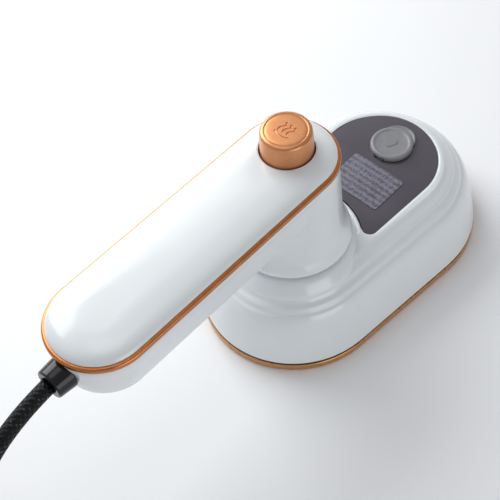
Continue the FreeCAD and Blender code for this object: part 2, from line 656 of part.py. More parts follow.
def button_group():
    save("button_bezel", tube(BEZEL_R, BUTTON_BASE_R + 0.3, 98.0, BEZEL_TOP))
    guide = join(cyl(18.0, 82.0, GUIDE_TOP), cyl(5.0, 79.0, GUIDE_TOP))
    slots = [cyl(2.0, 80, 86, 12.0 * math.cos(a), 12.0 * math.sin(a))
             for a in (math.pi / 3, math.pi, 5 * math.pi / 3)]
    save("button_guide", guide.cut([cyl(ROD_R + 0.08, 60, 90)] + slots))
    save("button_spring", spring(7.0, 0.6, GUIDE_TOP, BUTTON_WEB, 4.5))

    cap = Part.makeCone(BUTTON_BASE_R, BUTTON_TOP_R, BUTTON_TOP - BUTTON_WEB,
                        Vector(0, 0, BUTTON_WEB))
    top = [e for e in cap.Edges if e.BoundBox.ZMin > BUTTON_TOP - 0.01]
    cap = cap.makeFillet(1.2, top)
    hollow = tube(9.4, 4.5, BUTTON_WEB + 1.6, BUTTON_TOP - 2)
    skirt = tube(12.2, 9.4, BUTTON_WEB - 1.4, BUTTON_WEB)
    ring = tube(9.2, 8.7, BUTTON_TOP - 0.3, BUTTON_TOP + 1)
    socket = cyl(ROD_R, BUTTON_WEB - 1, BUTTON_TOP - 8)
    button = join(cap.cut([hollow, ring]), skirt).cut(socket)
    save("steam_button", button)
    save("push_rod", cyl(ROD_R, ROD_TIP, BUTTON_TOP - 8))


# ---------------------------------------------------------------- wiring


def leads():
    ends = heater_path()[1]
    for name, hand in (("live", -1), ("neutral", 1)):
        y = hand * LEAD_Y
        route = [(-94, y, 83.0), (-86, y, 83.0), (-80, y, 77.0), (-9, y, 77.0),
                 (LEAD_X, y, 70.0), (LEAD_X, y, LEAD_BREAK)]
        save("handle_lead_" + name, pipe(route, LEAD_R, 6)[0])
    live = [(LEAD_X, -LEAD_Y, 34.0), (-13.5, -LEAD_Y, 34.0), (-16.5, -1.3, 30.0),
            (-16.5, -1.3, 22.5)]
    save("head_lead_live", pipe(live, LEAD_R, 3)[0])
    pin = ends[0]
    neutral = [(LEAD_X, LEAD_Y, 34.0), (-11.0, 12.0, 34.0), (pin.x + 3, pin.y, 30.0),
               (pin.x + 3, pin.y, TERMINAL_TOP)]
    save("head_lead_neutral", pipe(neutral, LEAD_R, 3)[0])

    block = box(-108, -94, -8, 8, 79.0, 87.0)
    places = [(x, y) for x in (-104.5, -97.5) for y in (-LEAD_Y - 1.4, LEAD_Y + 1.4)]
    save("terminal_block", block.cut([cyl(2.2, 84.5, 90, x, y) for x, y in places]))
    save("terminal_screws", *[tube(1.9, 0.5, 84.5, 86.4, x, y) for x, y in places])
    gap = box(-110, -108, -8, 8, 79, 90)
    supply = [bar((-110.5, 1.6 * hand, GLAND_Z), (-107.5, 2.2 * hand, 84.8), LEAD_R).common(gap)
              for hand in (-1, 1)]
    save("supply_leads", *supply)
    clamp = box(-118.5, -112.5, -10.5, 10.5, 89.0, 91.5)
    clamp = join(clamp, box(-118.5, -112.5, -4.5, 4.5, 86.0, 89.0))
    clamp = clamp.cut([bar((-125, 0, 86), (-105, 0, 86), CORD_R)]
                      + [cyl(1.2, 80, 100, -115.5, y) for y in (-7.5, 7.5)])
    save("cord_clamp", clamp)
    save("clamp_screws", *[screw(-115.5, y, 91.5, 75.0, 1.0) for y in (-7.5, 7.5)])


# ---------------------------------------------------------------- power cord


def cord_route():
    """Points of the cord from the gland to the coil, chosen by hand."""
    return [
        (GLAND_X, 0.0, GLAND_Z),
        (-146.5, 0.3, 83.9),
        (-168.0, -1.5, 75.5),
        (-188.5, -7.0, 59.5),
        (-206.0, -17.0, 40.5),
        (-225.5, -32.0, 25.3),
        (-245.0, -37.4, 18.7),
    ]


def power_cord():
    def along(start, end, radius):
        return bar((start, 0, GLAND_Z), (end, 0, GLAND_Z), radius)

    sleeve = Part.makeCone(6.3, 7.0, GLAND_FLANGE_X - GLAND_X, Vector(GLAND_X, 0, GLAND_Z),
                           Vector(1, 0, 0))
    gland = join(sleeve, along(-126.0, -119.0, 5.2), along(-120.9, -119.0, 6.2))
    save("cord_gland", gland.cut(along(-140, -110, CORD_R)))
    save("cord_tail", along(GLAND_X, -110.0, CORD_R))

    solid, path, radii = pipe(cord_route(), CORD_R)
    print("cord arc radii", [round(r, 1) for r in radii])
    print("cord volume", round(solid.Volume), "section x length",
          round(math.pi * CORD_R ** 2 * path.Length), "length", round(path.Length, 1))
    save("power_cord", solid)
    save("cord_coil", Part.makeTorus(COIL_R, COIL_HALF, Vector(COIL_X, COIL_Y, COIL_HALF)))
    print("turns in the coil and the lead to the plug",
          round((CORD_LENGTH - path.Length) / (2 * math.pi * COIL_R), 2))


def plug():
    """A moulded two-blade plug, resting on the coil."""
    x, y, z = PLUG_X, PLUG_Y, 2 * COIL_HALF + PLUG_HALF_H
    body = box(x - 15, x + 15, y - 12, y + 12, z - PLUG_HALF_H, z + PLUG_HALF_H)
    lengthways = [e for e in body.Edges if abs(e.tangentAt(e.FirstParameter).x) > 0.99]
    body = body.makeFillet(6.0, lengthways)
    rim = [e for e in body.Edges if e.BoundBox.XLength < 0.01]
    body = body.makeFillet(1.5, rim)
    save("plug_body", join(body, bar((x - 25, y, z), (x - 15, y, z), 4.8)))
    blades = [box(x + 15, x + 32, y + side - 0.75, y + side + 0.75, z - 3.15, z + 3.15)
              for side in (-6.35, 6.35)]
    save("plug_blades", *blades)


soleplate()
heat_shield()
steam_generator()
thermal_controls()
inner_frame()
pump()
head_shell()
water_tank()
tank_window()
filler_stopper()
lower_shell(swivel())
handle_trim()
top_cover()
button_group()
leads()
power_cord()
plug()
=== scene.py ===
import bmesh
import bpy
import json
import math
from mathutils import Matrix, Vector


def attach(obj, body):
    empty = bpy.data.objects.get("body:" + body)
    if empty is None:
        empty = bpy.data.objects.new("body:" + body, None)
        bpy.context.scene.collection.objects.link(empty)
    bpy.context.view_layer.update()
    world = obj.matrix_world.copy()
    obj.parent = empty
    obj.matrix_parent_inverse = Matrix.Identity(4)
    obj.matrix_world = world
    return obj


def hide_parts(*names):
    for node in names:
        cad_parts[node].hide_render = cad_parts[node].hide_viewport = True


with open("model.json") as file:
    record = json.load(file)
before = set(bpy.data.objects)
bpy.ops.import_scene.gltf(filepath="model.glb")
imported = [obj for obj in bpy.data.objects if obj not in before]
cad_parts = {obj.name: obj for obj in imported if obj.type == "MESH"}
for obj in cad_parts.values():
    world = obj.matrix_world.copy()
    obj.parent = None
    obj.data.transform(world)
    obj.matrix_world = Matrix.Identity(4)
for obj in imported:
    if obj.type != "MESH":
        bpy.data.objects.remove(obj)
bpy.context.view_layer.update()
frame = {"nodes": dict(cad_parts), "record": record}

mm = 0.001
nodes = frame["nodes"]
print("frame loaded:", len(nodes), "nodes")


# ---- small helpers for modelling

def deselectAll():
    if bpy.context.object and bpy.context.object.mode != "OBJECT":
        bpy.ops.object.mode_set(mode="OBJECT")
    bpy.ops.object.select_all(action="DESELECT")


def activate(piece):
    deselectAll()
    piece.select_set(True)
    bpy.context.view_layer.objects.active = piece


def editAll(piece):
    activate(piece)
    bpy.ops.object.mode_set(mode="EDIT")
    bpy.ops.mesh.select_mode(type="VERT")
    bpy.ops.mesh.select_all(action="SELECT")


def leaveEdit():
    bpy.ops.object.mode_set(mode="OBJECT")


def applyModifier(piece, kind, **settings):
    activate(piece)
    modifier = piece.modifiers.new("step", kind)
    for key, value in settings.items():
        setattr(modifier, key, value)
    bpy.ops.object.modifier_apply(modifier=modifier.name)


def boolean(piece, tool, how="DIFFERENCE"):
    applyModifier(piece, "BOOLEAN", operation=how, object=tool, solver="EXACT")
    bpy.data.objects.remove(tool)


def smoothShade(piece, degrees=32):
    activate(piece)
    bpy.ops.object.shade_smooth_by_angle(angle=math.radians(degrees))


def tidyMesh(piece, fill=False):
    editAll(piece)
    bpy.ops.mesh.remove_doubles(threshold=0.000005)
    if fill:
        bpy.ops.mesh.fill_holes(sides=0)
    bpy.ops.mesh.select_all(action="SELECT")
    bpy.ops.mesh.normals_make_consistent(inside=False)
    leaveEdit()


def newChain(name, points, closed=False):
    # one vertex, extruded from point to point, in millimetres
    deselectAll()
    bpy.ops.mesh.primitive_plane_add(size=mm)
    piece = bpy.context.object
    piece.name = name
    piece.data.name = name
    editAll(piece)
    bpy.ops.mesh.merge(type="CENTER")
    last = Vector((0, 0, 0))
    for order, point in enumerate(points):
        here = Vector(point) * mm
        if order == 0:
            bpy.ops.transform.translate(value=here - last)
        else:
            bpy.ops.mesh.extrude_vertices_move(TRANSFORM_OT_translate={"value": here - last})
        last = here
    leaveEdit()
    if closed:
        ends = (0, len(piece.data.vertices) - 1)
        editAll(piece)
        bpy.ops.mesh.select_all(action="DESELECT")
        leaveEdit()
        for end in ends:
            piece.data.vertices[end].select = True
        bpy.ops.object.mode_set(mode="EDIT")
        bpy.ops.mesh.edge_face_add()
        leaveEdit()
    return piece


def spinSelected(centre, degrees, steps):
    bpy.ops.mesh.spin(steps=steps, angle=math.radians(degrees), use_auto_merge=False,
                      center=Vector(centre) * mm, axis=(0, 0, 1))


def runSelected(move, cuts=(0.04, 0.92, 0.04)):
    for share in cuts:
        bpy.ops.mesh.extrude_region_move(
            TRANSFORM_OT_translate={"value": Vector(move) * mm * share})


def mirrored(piece):
    applyModifier(piece, "MIRROR", use_axis=(False, True, False), use_clip=True,
                  merge_threshold=0.00001)


def hullLean(front, rear):
    return math.asin((rear[1] - front[1]) / (rear[0] - front[0]))


def sweepHull(name, profile, front, rear, closed=True, steps=12, levels=2, fill=False):
    # a profile of (inset, height) carried round the hull of two circles, each (x, radius)
    lean = math.degrees(hullLean(front, rear))
    run = (rear[0] - front[0]) * math.cos(math.radians(lean))
    start = [(front[0] - (front[1] - inset), 0, z) for inset, z in profile]
    piece = newChain(name, start, closed)
    editAll(piece)
    spinSelected((front[0], 0, 0), spinSign * (90 - lean), steps)
    runSelected((run * math.cos(math.radians(lean)), run * math.sin(math.radians(lean)), 0))
    spinSelected((rear[0], 0, 0), spinSign * (90 + lean), steps)
    leaveEdit()
    mirrored(piece)
    tidyMesh(piece, fill)
    if levels:
        applyModifier(piece, "SUBSURF", levels=levels, render_levels=levels)
    return piece


def turnPiece(name, profile, x=0.0, closed=False, steps=48, levels=1):
    # a profile of (radius, height) turned about the upright line through x
    piece = newChain(name, [(x + radius, 0, z) for radius, z in profile], closed)
    editAll(piece)
    spinSelected((x, 0, 0), 360, steps)
    leaveEdit()
    tidyMesh(piece)
    if levels:
        applyModifier(piece, "SUBSURF", levels=levels, render_levels=levels)
    return piece


def layAlong(piece, x, z):
    # stands a turned piece on its side, so that its axis runs along -X from x
    editAll(piece)
    bpy.ops.transform.rotate(value=spinSign * math.radians(90), orient_axis="Y",
                             orient_type="GLOBAL", center_override=(0, 0, 0))
    bpy.ops.transform.translate(value=(x * mm, 0, z * mm))
    leaveEdit()


def block(name, low, high):
    # a plain cutting block
    deselectAll()
    centre = [(a + b) / 2 * mm for a, b in zip(low, high)]
    bpy.ops.mesh.primitive_cube_add(size=1, location=centre)
    piece = bpy.context.object
    piece.name = name
    piece.scale = [(b - a) * mm for a, b in zip(low, high)]
    bpy.ops.object.transform_apply(location=True, rotation=True, scale=True)
    return piece


def findSpinSign():
    # which sign turns a vertex from -X towards +Y
    probe = newChain("probe", [(-10, 0, 0)])
    editAll(probe)
    spinSelected((0, 0, 0), 90, 1)
    leaveEdit()
    sign = 1 if max(v.co.y for v in probe.data.vertices) > 5 * mm else -1
    bpy.data.objects.remove(probe)
    return sign


spinSign = findSpinSign()


def finishPiece(piece, body, replaced, material, degrees=32):
    smoothShade(piece, degrees)
    piece.data.materials.clear()
    piece.data.materials.append(material)
    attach(piece, body)
    if replaced:
        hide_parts(*replaced)
    return piece


# ---- materials

def newMaterial(name, color, roughness, metallic=0.0, **sockets):
    material = bpy.data.materials.new(name)
    material.use_nodes = True
    shader = material.node_tree.nodes["Principled BSDF"]
    shader.inputs["Base Color"].default_value = (*color, 1)
    shader.inputs["Roughness"].default_value = roughness
    shader.inputs["Metallic"].default_value = metallic
    for key, value in sockets.items():
        shader.inputs[key.replace("_", " ")].default_value = value
    return material


def addNoise(material, scale, detail=4.0):
    tree = material.node_tree
    place = tree.nodes.new("ShaderNodeTexCoord")
    noise = tree.nodes.new("ShaderNodeTexNoise")
    noise.inputs["Scale"].default_value = scale
    noise.inputs["Detail"].default_value = detail
    tree.links.new(place.outputs["Object"], noise.inputs["Vector"])
    return noise


def addRamp(material, source, stops):
    tree = material.node_tree
    ramp = tree.nodes.new("ShaderNodeValToRGB")
    ramp.color_ramp.elements[0].position = stops[0][0]
    ramp.color_ramp.elements[0].color = (*stops[0][1], 1)
    ramp.color_ramp.elements[1].position = stops[-1][0]
    ramp.color_ramp.elements[1].color = (*stops[-1][1], 1)
    for position, color in stops[1:-1]:
        ramp.color_ramp.elements.new(position).color = (*color, 1)
    tree.links.new(source, ramp.inputs["Fac"])
    return ramp


def spread(material, source, low, high, socket):
    # drives a shader socket between two values
    tree = material.node_tree
    span = tree.nodes.new("ShaderNodeMapRange")
    span.inputs["To Min"].default_value = low
    span.inputs["To Max"].default_value = high
    tree.links.new(source, span.inputs["Value"])
    tree.links.new(span.outputs["Result"], tree.nodes["Principled BSDF"].inputs[socket])


def addBump(material, source, strength, distance):
    tree = material.node_tree
    bump = tree.nodes.new("ShaderNodeBump")
    bump.inputs["Strength"].default_value = strength
    bump.inputs["Distance"].default_value = distance
    tree.links.new(source, bump.inputs["Height"])
    tree.links.new(bump.outputs["Normal"], tree.nodes["Principled BSDF"].inputs["Normal"])


def varied(name, color, roughness, scale, shift=0.08, rough=0.05, bump=0.0, metallic=0.0,
           grain=None, **sockets):
    # a finish with slight mottling of colour, gloss and height
    material = newMaterial(name, color, roughness, metallic, **sockets)
    noise = addNoise(material, scale)
    low = tuple(max(0.0, c * (1 - shift)) for c in color)
    high = tuple(min(1.0, c * (1 + shift)) for c in color)
    ramp = addRamp(material, noise.outputs["Fac"], [(0.3, low), (0.7, high)])
    shader = material.node_tree.nodes["Principled BSDF"]
    material.node_tree.links.new(ramp.outputs["Color"], shader.inputs["Base Color"])
    spread(material, noise.outputs["Fac"], max(0.02, roughness - rough), roughness + rough,
           "Roughness")
    if bump:
        fine = addNoise(material, grain or scale * 8, 2.0)
        addBump(material, fine.outputs["Fac"], 0.5, bump)
    return material


whiteGloss = varied("whiteGloss", (0.755, 0.785, 0.80), 0.24, 60, 0.012, 0.03,
                    bump=0.00001, grain=900, Coat_Weight=0.5, Coat_Roughness=0.08)
smokedGloss = varied("smokedGloss", (0.072, 0.064, 0.078), 0.13, 45, 0.10, 0.03,
                     bump=0.000006, grain=700, Coat_Weight=0.6, Coat_Roughness=0.06)
copperTrim = varied("copperTrim", (0.54, 0.20, 0.07), 0.26, 300, 0.08, 0.05,
                    bump=0.00001, grain=3000, metallic=0.9)
copperButton = varied("copperButton", (0.68, 0.295, 0.13), 0.30, 900, 0.05, 0.05,
                      bump=0.000015, grain=4000, metallic=0.8)
copperSole = varied("copperSole", (0.60, 0.30, 0.115), 0.28, 400, 0.08, 0.05,
                    bump=0.00001, grain=2500, metallic=0.85)
heatBlack = varied("heatBlack", (0.006, 0.006, 0.007), 0.6, 400, 0.2, 0.08, bump=0.00002)
blackGloss = varied("blackGloss", (0.006, 0.006, 0.007), 0.16, 300, 0.2, 0.04,
                    bump=0.000008, Specular_IOR_Level=0.4)
blackRubber = varied("blackRubber", (0.018, 0.018, 0.019), 0.50, 500, 0.2, 0.06, bump=0.00002)
stopperGrey = varied("stopperGrey", (0.225, 0.225, 0.235), 0.36, 250, 0.06, 0.05, bump=0.00001,
                     grain=2500)
castMetal = varied("castMetal", (0.50, 0.50, 0.51), 0.45, 500, 0.12, 0.1, bump=0.00004,
                   metallic=1.0)
zincSteel = varied("zincSteel", (0.55, 0.55, 0.57), 0.30, 800, 0.08, 0.08, metallic=1.0)
plainBrass = varied("plainBrass", (0.66, 0.50, 0.24), 0.30, 700, 0.08, 0.06, metallic=1.0)
bareCeramic = varied("bareCeramic", (0.78, 0.75, 0.70), 0.60, 900, 0.05, 0.08, bump=0.00002)
redSilicone = varied("redSilicone", (0.50, 0.12, 0.07), 0.50, 400, 0.08, 0.05)
clearSilicone = varied("clearSilicone", (0.70, 0.70, 0.68), 0.40, 400, 0.05, 0.05)
tankPlastic = varied("tankPlastic", (0.42, 0.44, 0.47), 0.25, 300, 0.05, 0.04)
innerBlack = varied("innerBlack", (0.03, 0.03, 0.032), 0.60, 600, 0.15, 0.08, bump=0.00002)
innerWhite = varied("innerWhite", (0.70, 0.70, 0.68), 0.45, 500, 0.04, 0.06)
leadBrown = varied("leadBrown", (0.16, 0.05, 0.02), 0.45, 700, 0.1, 0.05)
leadBlue = varied("leadBlue", (0.02, 0.07, 0.32), 0.45, 700, 0.1, 0.05)


def linkedMath(tree, operation, *values):
    # a math node whose inputs are numbers or other nodes' outputs
    node = tree.nodes.new("ShaderNodeMath")
    node.operation = operation
    for index, value in enumerate(values):
        if isinstance(value, (int, float)):
            node.inputs[index].default_value = value
        else:
            tree.links.new(value, node.inputs[index])
    return node.outputs[0]


def makeFrostedFilm():
    # a frosted film with faint mottled rows, which are no lettering
    film = {"rowPitch": 3.1, "rowShare": 0.14, "grain": 900}
    material = varied("frostedFilm", (0.17, 0.165, 0.205), 0.36, film["grain"], 0.10, 0.08,
                      bump=0.00001, grain=2500)
    tree = material.node_tree
    place = tree.nodes.new("ShaderNodeTexCoord")
    split = tree.nodes.new("ShaderNodeSeparateXYZ")
    tree.links.new(place.outputs["Object"], split.inputs["Vector"])
    row = linkedMath(tree, "SINE", linkedMath(tree, "MULTIPLY", split.outputs["X"],
                                              2 * math.pi / (film["rowPitch"] * mm)))
    blot = addNoise(material, film["grain"], 2.0)
    tone = linkedMath(tree, "MULTIPLY_ADD", row, film["rowShare"], blot.outputs["Fac"])
    ramp = addRamp(material, tone, [(0.34, (0.20, 0.195, 0.24)), (0.52, (0.145, 0.14, 0.18)),
                                    (0.66, (0.085, 0.08, 0.105))])
    tree.links.new(ramp.outputs["Color"], tree.nodes["Principled BSDF"].inputs["Base Color"])
    return material


def makeBraid():
    # two crossed sets of yarns on the cord's own length and girth, with painted highlights on the
    # yarn crests
    braid = {"around": 8, "perMetre": 415, "dark": (0.002, 0.002, 0.0025),
             "mid": (0.004, 0.004, 0.005), "light": (0.10, 0.10, 0.11), "glintScale": 520}
    material = newMaterial("blackBraid", braid["dark"], 0.5, Specular_IOR_Level=0.22)
    tree = material.node_tree
    uv = tree.nodes.new("ShaderNodeUVMap")
    uv.uv_map = "braidMap"
    split = tree.nodes.new("ShaderNodeSeparateXYZ")
    tree.links.new(uv.outputs["UV"], split.inputs["Vector"])
    along = linkedMath(tree, "MULTIPLY", split.outputs["X"], braid["perMetre"])
    around = linkedMath(tree, "MULTIPLY", split.outputs["Y"], braid["around"])
    waves = [linkedMath(tree, "SINE", linkedMath(tree, "MULTIPLY", linkedMath(
        tree, sense, along, around), math.pi)) for sense in ("ADD", "SUBTRACT")]
    over = linkedMath(tree, "MULTIPLY", *waves)
    yarns = [linkedMath(tree, "MULTIPLY", linkedMath(tree, "ABSOLUTE", wave),
                        linkedMath(tree, "MULTIPLY_ADD", over, share, 0.65))
             for wave, share in zip(waves, (0.35, -0.35))]
    height = linkedMath(tree, "MAXIMUM", *yarns)
    # painted highlight: the base colour turns light where the yarn crests meet noise spots,
    # standing in for glints of light on the yarn
    glintNoise = addNoise(material, braid["glintScale"], 3.0).outputs["Fac"]
    yarnGlint = linkedMath(tree, "MULTIPLY", height, glintNoise)
    ramp = addRamp(material, yarnGlint, [(0.20, braid["dark"]), (0.46, braid["mid"]),
                                     (0.66, braid["light"])])
    shader = tree.nodes["Principled BSDF"]
    tree.links.new(ramp.outputs["Color"], shader.inputs["Base Color"])
    spread(material, height, 0.62, 0.36, "Roughness")
    addBump(material, height, 0.8, 0.0004)
    return material


frostedFilm = makeFrostedFilm()
blackBraid = makeBraid()
print("materials made")


# ---- camera and lights first, then the cord, because its spread depends on the view

def makeCamera():
    view = {"target": (4.81, 33.28, 0.0), "distance": 568.91, "azimuth": -42.57,
            "elevation": 52.98, "roll": -5.87, "lens": 84.3}
    turn, rise, roll = (math.radians(view[k]) for k in ("azimuth", "elevation", "roll"))
    ahead = Vector((-math.sin(turn) * math.cos(rise), math.cos(turn) * math.cos(rise),
                    -math.sin(rise)))
    right = Vector((math.cos(turn), math.sin(turn), 0))
    up = right.cross(ahead)
    across = right * math.cos(roll) + up * math.sin(roll)
    upright = up * math.cos(roll) - right * math.sin(roll)
    data = bpy.data.cameras.new("camera")
    data.lens = view["lens"]
    data.sensor_width = 36
    camera = bpy.data.objects.new("camera", data)
    bpy.context.scene.collection.objects.link(camera)
    turnMatrix = Matrix((across, upright, -ahead)).transposed().to_4x4()
    place = (Vector(view["target"]) - ahead * view["distance"]) * mm
    camera.matrix_world = Matrix.Translation(place) @ turnMatrix
    bpy.context.scene.camera = camera


def makeLights():
    lamps = [
        # name, place, target, size, power, colour
        ("windowBox", (60, 560, 470), (0, 0, 40), 560, 4.4, (0.985, 0.995, 1.0)),
        ("topBox", (-60, 60, 760), (0, 0, 40), 300, 0.3, (1.0, 1.0, 1.0)),
        ("lowFill", (-120, -620, 90), (0, 0, 40), 420, 1.1, (0.99, 0.995, 1.0)),
    ]
    for name, place, target, size, power, color in lamps:
        data = bpy.data.lights.new(name, "AREA")
        data.shape = "SQUARE"
        data.size = size * mm
        data.energy = power
        data.color = color
        lamp = bpy.data.objects.new(name, data)
        bpy.context.scene.collection.objects.link(lamp)
        lamp.location = Vector(place) * mm
        lamp.rotation_euler = (Vector(target) - Vector(place)).to_track_quat(
            "-Z", "Y").to_euler()
    # a room that is brighter towards +Y than towards -Y
    world = bpy.data.worlds.new("studio")
    world.use_nodes = True
    tree = world.node_tree
    place = tree.nodes.new("ShaderNodeTexCoord")
    split = tree.nodes.new("ShaderNodeSeparateXYZ")
    ramp = tree.nodes.new("ShaderNodeMapRange")
    ramp.inputs["From Min"].default_value = -0.9
    ramp.inputs["From Max"].default_value = 0.9
    ramp.inputs["To Min"].default_value = 0.34
    ramp.inputs["To Max"].default_value = 0.64
    tree.links.new(place.outputs["Generated"], split.inputs["Vector"])
    tree.links.new(split.outputs["Y"], ramp.inputs["Value"])
    tree.links.new(ramp.outputs["Result"], tree.nodes["Background"].inputs["Strength"])
    tree.nodes["Background"].inputs["Color"].default_value = (0.95, 0.97, 1.0, 1)
    bpy.context.scene.world = world
    bpy.context.scene.view_settings.view_transform = "Standard"


def makeFloor():
    deselectAll()
    bpy.ops.mesh.primitive_plane_add(size=6, location=(0, 0, -0.0001))
    floor = bpy.context.object
    floor.name = "studioFloor"
    paper = varied("palePaper", (0.90, 0.905, 0.915), 0.7, 3, 0.004, 0.02)
    floor.data.materials.append(paper)


makeCamera()
makeLights()
makeFloor()
print("camera, lights and floor placed")


# ---- power cord

def makeCord():
    cord = {
        "width": 6.7,
        "length": 1500,
        "route": [(-132.5, 0.0, 86.0), (-146.5, 0.3, 83.9), (-168.0, -1.5, 75.5),
                  (-188.5, -7.0, 59.5), (-206.0, -17.0, 40.5), (-225.5, -32.0, 25.3),
                  (-245.0, -37.4, 18.7)],
        "coilCentre": (-235.0, 0.0, 10.95),
        "coilRadius": 38.9,
        "bundle": 7.5,
        "firstTurn": 0.13,
        "lastTurn": 5.0,
        "slotAtStart": 98,       # degrees round the bundle, where 90 is its top
        "slotPerTurn": -60,
        "pointsPerTurn": 16,
        "lead": [(-247.2, -30.0, 14.0), (-262.4, -17.5, 15.8), (-268.3, 1.5, 20.4),
                 (-263.0, 21.5, 26.3), (-246.5, 35.5, 30.7), (-235.0, 35.5, 30.9)],
    }
    curve = bpy.data.curves.new("powerCordLine", "CURVE")
    curve.dimensions = "3D"
    curve.resolution_u = 10
    cx, cy, cz = cord["coilCentre"]
    points = list(cord["route"])
    span = cord["lastTurn"] - cord["firstTurn"]
    steps = round(span * cord["pointsPerTurn"])
    for step in range(steps + 1):
        turn = cord["firstTurn"] + span * step / steps
        angle = -math.pi / 2 - 2 * math.pi * turn      # clockwise, from the -Y side
        slot = math.radians(cord["slotAtStart"] + cord["slotPerTurn"] * turn)
        radius = cord["coilRadius"] + cord["bundle"] * math.cos(slot)
        points.append((cx + radius * math.cos(angle), cy + radius * math.sin(angle),
                       cz + cord["bundle"] * math.sin(slot)))
    points += cord["lead"]
    spline = curve.splines.new("NURBS")
    spline.points.add(len(points) - 1)
    for target, point in zip(spline.points, points):
        target.co = (*(Vector(point) * mm), 1)
    spline.order_u = 3
    spline.use_endpoint_u = True
    piece = bpy.data.objects.new("powerCord", curve)
    bpy.context.scene.collection.objects.link(piece)
    bpy.context.view_layer.update()
    bare = bpy.data.meshes.new_from_object(piece)
    path = [vertex.co.copy() for vertex in bare.vertices]
    bpy.data.objects.remove(piece)
    return skinCord(path, cord["width"] / 2 * mm), path, cord


def skinCord(path, radius, sides=16):
    # a tube about the line's own points, with its length and girth as a UV map
    shape = bmesh.new()
    chart = shape.loops.layers.uv.new("braidMap")
    rings, lengths, side = [], [], Vector((0, 1, 0))
    for index, place in enumerate(path):
        before, after = path[max(index - 1, 0)], path[min(index + 1, len(path) - 1)]
        ahead = (after - before).normalized()
        side = (side - ahead * side.dot(ahead)).normalized()
        up = ahead.cross(side)
        rings.append([shape.verts.new(place + (side * math.cos(turn) + up * math.sin(turn))
                                      * radius)
                      for turn in (2 * math.pi * k / sides for k in range(sides))])
        lengths.append(lengths[-1] + (place - before).length if lengths else 0.0)
    for index in range(len(rings) - 1):
        for k in range(sides):
            corners = [(index, k), (index, k + 1), (index + 1, k + 1), (index + 1, k)]
            face = shape.faces.new([rings[i][j % sides] for i, j in corners])
            face.smooth = True
            for loop, (i, j) in zip(face.loops, corners):
                loop[chart].uv = (lengths[i], j / sides)
    for ring in (rings[0], rings[-1]):
        shape.faces.new(ring)
    bmesh.ops.recalc_face_normals(shape, faces=shape.faces[:])
    mesh = bpy.data.meshes.new("powerCord")
    shape.to_mesh(mesh)
    shape.free()
    piece = bpy.data.objects.new("powerCord", mesh)
    bpy.context.scene.collection.objects.link(piece)
    return piece


cordPiece, cordPath, cordFacts = makeCord()
print("cord laid")


# ---- soleplate

def makeSoleplate():
    plate = {"front": (0, 42.8), "rear": (59.7, 47.4), "holeRadius": 1.1, "mouthRadius": 1.5}
    profile = [(14, 0), (10.9, 0), (10.6, 0.12), (10.45, 0.45), (9.15, 0.45), (9.0, 0.12),
               (8.7, 0), (1.5, 0), (0.95, 0.08), (0.5, 0.3), (0.2, 0.66), (0.04, 1.1), (0, 1.5),
               (0, 3.3), (0.06, 3.7), (0.25, 4.0), (0.5, 4.15), (0.8, 4.2), (14, 4.2)]
    piece = sweepHull("soleplateShell", profile, plate["front"], plate["rear"], closed=False,
                      steps=24, levels=0, fill=True)
    mouth = plate["mouthRadius"]
    bore = turnPiece("steamHole", [(0, -1), (mouth, -1), (mouth, 0), (plate["holeRadius"], 0.5),
                                   (plate["holeRadius"], 5.2), (0, 5.2)], steps=14, levels=0)
    places = []
    for count, reach in ((10, 14.5), (6, 8.0)):
        for k in range(count):
            angle = math.pi / 2 + math.pi * (k + 0.5) / count
            places.append((reach * math.cos(angle), reach * math.sin(angle)))
    places += [(9.0 * column, y) for column in range(1, 9) for y in (-14, -7, 7, 14)]
    copies = []
    for x, y in places:
        activate(bore)
        bpy.ops.object.duplicate(linked=False)
        copy = bpy.context.object
        editAll(copy)
        bpy.ops.transform.translate(value=(x * mm, y * mm, 0))
        leaveEdit()
        copies.append(copy)
    bpy.data.objects.remove(bore)
    deselectAll()
    for copy in copies:
        copy.select_set(True)
    bpy.context.view_layer.objects.active = copies[0]
    bpy.ops.object.join()
    boolean(piece, copies[0])
    return finishPiece(piece, "head", ["soleplate"], copperSole)


# ---- window outline, shared by the lip, the pane and the cut-outs

windowPlan = {"bay": 31.2, "corner": 3.5, "cornerCentre": (26.77, 22.48),
              "bayRoom": 0.25, "rear": (60.8, 27.3), "front": (0.0, 24.9)}


def sweepWindow(name, profile, closed=True, levels=1, fill=False, steps=(8, 10, 20)):
    # a profile of (growth, height) carried round the window's outline
    plan = windowPlan
    lean = hullLean(plan["front"], plan["rear"])
    cornerX, cornerY = plan["cornerCentre"]
    normal = Vector((-math.sin(lean), math.cos(lean), 0))
    sideStart = Vector((cornerX, cornerY, 0)) + normal * plan["corner"]
    sideEnd = Vector((plan["rear"][0], 0, 0)) + normal * plan["rear"][1]
    toBay = math.degrees(math.atan2(-cornerY, -cornerX)) % 360
    cornerTurn = toBay - (90 + math.degrees(lean))
    bayTurn = math.degrees(math.atan2(cornerY, cornerX))
    bay = plan["bay"] + plan["bayRoom"]
    piece = newChain(name, [(bay - growth, 0, z) for growth, z in profile], closed)
    editAll(piece)
    spinSelected((0, 0, 0), -spinSign * bayTurn, steps[0])
    spinSelected((cornerX, cornerY, 0), spinSign * cornerTurn, steps[1])
    runSelected(sideEnd - sideStart)
    spinSelected((plan["rear"][0], 0, 0), spinSign * (90 + math.degrees(lean)), steps[2])
    leaveEdit()
    mirrored(piece)
    tidyMesh(piece, fill)
    if levels:
        applyModifier(piece, "SUBSURF", levels=levels, render_levels=levels)
    return piece


def windowBlock(name, growth, bottom, top):
    # the window's plan as a plain block, for cutting
    piece = sweepWindow(name, [(growth, bottom)], closed=False, levels=0, steps=(16, 12, 32))
    activate(piece)
    editAll(piece)
    bpy.ops.mesh.edge_face_add()
    bpy.ops.mesh.extrude_region_move(
        TRANSFORM_OT_translate={"value": (0, 0, (top - bottom) * mm)})
    bpy.ops.mesh.select_all(action="SELECT")
    bpy.ops.mesh.normals_make_consistent(inside=False)
    leaveEdit()
    return piece


